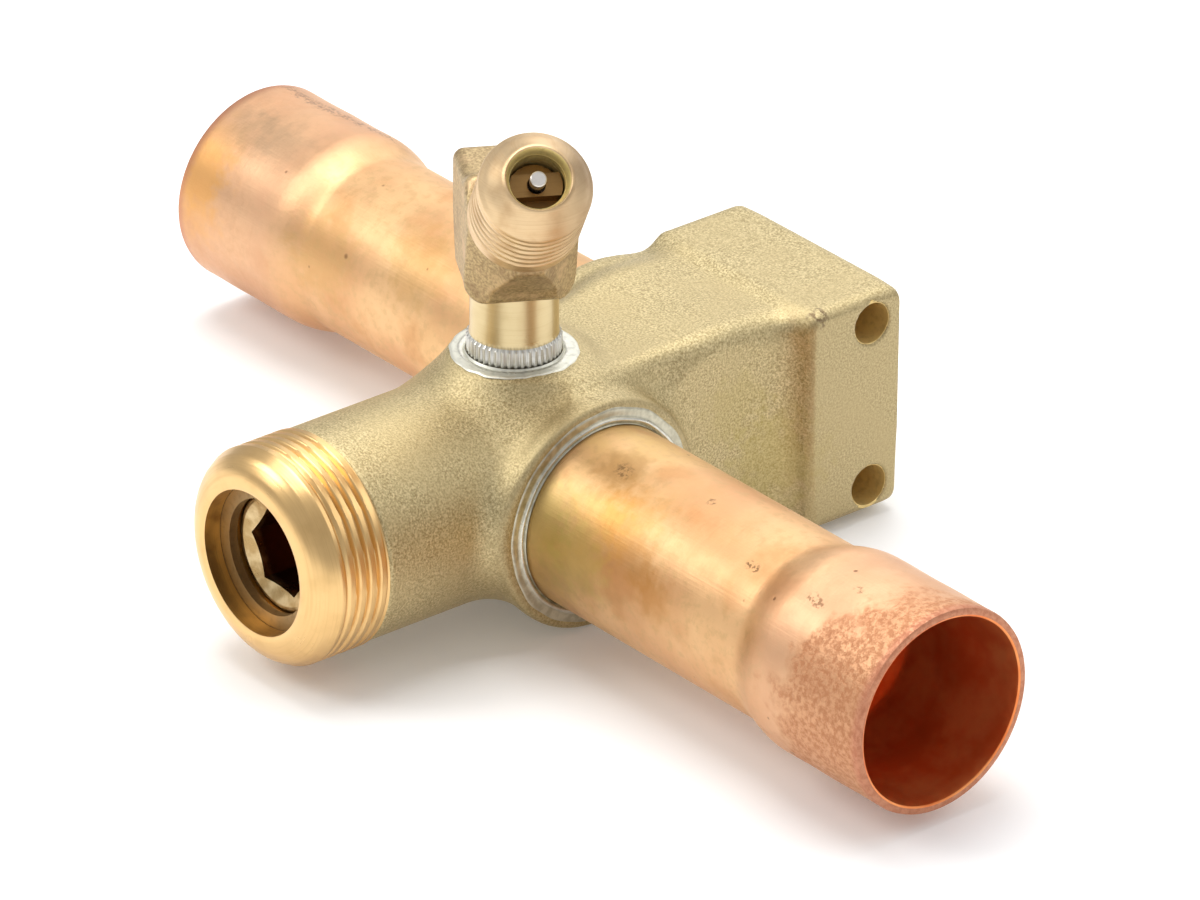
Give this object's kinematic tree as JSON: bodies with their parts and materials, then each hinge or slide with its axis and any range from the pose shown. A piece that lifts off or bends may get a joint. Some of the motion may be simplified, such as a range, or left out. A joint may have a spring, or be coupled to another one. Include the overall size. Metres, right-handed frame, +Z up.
{
  "type": "refrigerant service valve",
  "caption": "Angle-pattern refrigerant service valve: forged brass body with a stem neck, two belled copper tubes, a 45 degree access port and a mounting block.",
  "frame": {"origin": "centre of the two fixing holes on the +X face of the mounting block", "axes": "+X along the tubes towards the line tube's mouth, -Y out of the stem neck, +Z up the access port"},
  "size_m": [0.1282, 0.072, 0.0532],
  "materials": {
    "forged_brass": "sandblasted forging",
    "copper": "drawn copper tube, heat tinted",
    "braze": "silver braze fillet",
    "fitting_brass": "forged and machined brass",
    "stem_brass": "machined brass",
    "core_brass": "machined brass",
    "spring_steel": "spring steel",
    "rubber": "moulded rubber",
    "ptfe": "PTFE"
  },
  "bodies": {
    "valve": {"valve_body": "forged_brass", "line_tube": "copper", "unit_tube": "copper", "line_tube_braze": "braze", "unit_tube_braze": "braze", "access_fitting": "fitting_brass", "access_port_braze": "braze", "retaining_ring": "spring_steel", "core_plug": "core_brass", "core_barrel": "core_brass", "core_gasket": "ptfe", "core_spring": "spring_steel"},
    "stem_seal": {"stem_o_ring": "rubber"},
    "stem": {"valve_stem": "stem_brass"},
    "pin": {"core_pin": "core_brass", "core_cup": "rubber"}
  },
  "joints": [
    {"name": "stem_travel", "type": "slide", "parent": "valve", "child": "stem_seal", "axis": [0, 1, 0], "range_m": [0, 0.0121]},
    {"name": "stem_turn", "type": "hinge", "parent": "stem_seal", "child": "stem", "pos_m": [-0.01225, -0.0626, 0], "axis": [0, 1, 0], "range_deg": [0, 3429]},
    {"name": "core_press", "type": "slide", "parent": "valve", "child": "pin", "axis": [-0.6124, 0.3536, -0.7071], "range_m": [0, 0.0015], "stiffness_N_per_m": 150, "springref_m": -0.002, "deforming": ["core_spring"]}
  ],
  "couplings": [
    {"joint": "stem_travel", "follows": "stem_turn", "m_per_rad": 0.00020213}
  ]
}
